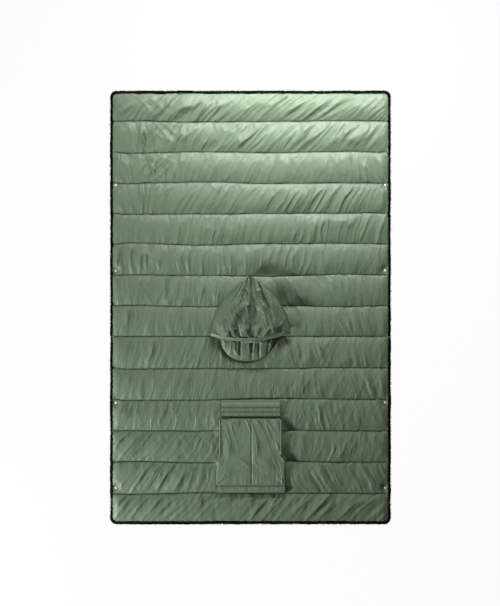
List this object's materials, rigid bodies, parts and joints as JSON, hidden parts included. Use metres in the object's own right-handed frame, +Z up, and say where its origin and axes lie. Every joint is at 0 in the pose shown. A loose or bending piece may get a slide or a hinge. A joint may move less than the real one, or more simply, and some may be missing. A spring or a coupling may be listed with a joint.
{
  "type": "wearable blanket",
  "caption": "Hooded quilted poncho blanket lying flat: channelled nylon shell, fleece lining, hood, zipped hand pocket and press-studs along both sides.",
  "frame": {"origin": "centre of the flat underside, on the surface the blanket lies on", "axes": "+Z up through the shell, +Y along the length towards the back hem, +X across"},
  "size_m": [1.4, 2.165, 0.0959],
  "materials": {
    "shell_nylon": "glossy satin sage-green nylon",
    "nylon_trim": "folded satin nylon, a shade lighter",
    "sherpa_fleece": "curly black sherpa pile",
    "wadding": "lofted white polyester fibre",
    "woven_tape": "herringbone woven tape",
    "zip_coil": "moulded nylon coil",
    "stud_cap": "pearl white, polished",
    "stud_steel": "dark plated, lightly worn"
  },
  "bodies": {
    "back": {"back_cap_hem_left": "stud_cap", "back_cap_hem_right": "stud_cap", "back_cap_near_left": "stud_cap", "back_cap_near_right": "stud_cap", "back_fleece_edging": "sherpa_fleece", "back_fleece_lining": "sherpa_fleece", "back_shell": "shell_nylon", "back_socket_hem_left": "stud_steel", "back_socket_hem_right": "stud_steel", "back_socket_near_left": "stud_steel", "back_socket_near_right": "stud_steel", "insulation_01": "wadding", "insulation_02": "wadding", "insulation_03": "wadding", "insulation_04": "wadding", "insulation_05": "wadding", "insulation_06": "wadding", "insulation_07": "wadding", "insulation_08": "wadding", "neck_binding_back": "woven_tape"},
    "front": {"chin_piece": "shell_nylon", "front_cap_hem_left": "stud_cap", "front_cap_hem_right": "stud_cap", "front_cap_near_left": "stud_cap", "front_cap_near_right": "stud_cap", "front_fleece_edging": "sherpa_fleece", "front_fleece_lining": "sherpa_fleece", "front_shell": "shell_nylon", "front_stud_hem_left": "stud_steel", "front_stud_hem_right": "stud_steel", "front_stud_near_left": "stud_steel", "front_stud_near_right": "stud_steel", "insulation_09": "wadding", "insulation_10": "wadding", "insulation_11": "wadding", "insulation_12": "wadding", "insulation_13": "wadding", "insulation_14": "wadding", "neck_binding_front": "woven_tape", "pocket_binding_left": "nylon_trim", "pocket_binding_right": "nylon_trim", "pocket_hem": "shell_nylon", "pocket_panel": "shell_nylon", "pocket_pleat": "shell_nylon", "pocket_yoke": "shell_nylon", "pocket_zip_placket": "shell_nylon", "zip_coil": "zip_coil", "zip_stop_left": "stud_steel", "zip_stop_right": "stud_steel", "zip_tape_lower": "woven_tape", "zip_tape_upper": "woven_tape"},
    "hood": {"hood_fleece_lining": "sherpa_fleece", "hood_left_panel": "shell_nylon", "hood_nape_panel": "shell_nylon", "hood_right_panel": "shell_nylon", "hood_rim_band": "nylon_trim", "hood_rim_facing": "nylon_trim"},
    "slider": {"zip_slider": "stud_steel"},
    "pull": {"zip_pull": "stud_steel"}
  },
  "joints": [
    {"name": "shoulder_fold", "type": "hinge", "parent": "back", "child": "front", "pos_m": [0, -0.145, -0.0015], "axis": [1, 0, 0], "range_deg": [0, 180]},
    {"name": "hood_raise", "type": "hinge", "parent": "back", "child": "hood", "pos_m": [0, -0.185, 0.044], "axis": [1, 0, 0], "range_deg": [0, 75]},
    {"name": "zip_slide", "type": "slide", "parent": "front", "child": "slider", "axis": [1, 0, 0], "range_m": [0, 0.254]},
    {"name": "zip_pull_flip", "type": "hinge", "parent": "slider", "child": "pull", "pos_m": [-0.128, -0.5495, 0.0435], "axis": [0, -1, 0], "range_deg": [0, 165]}
  ]
}
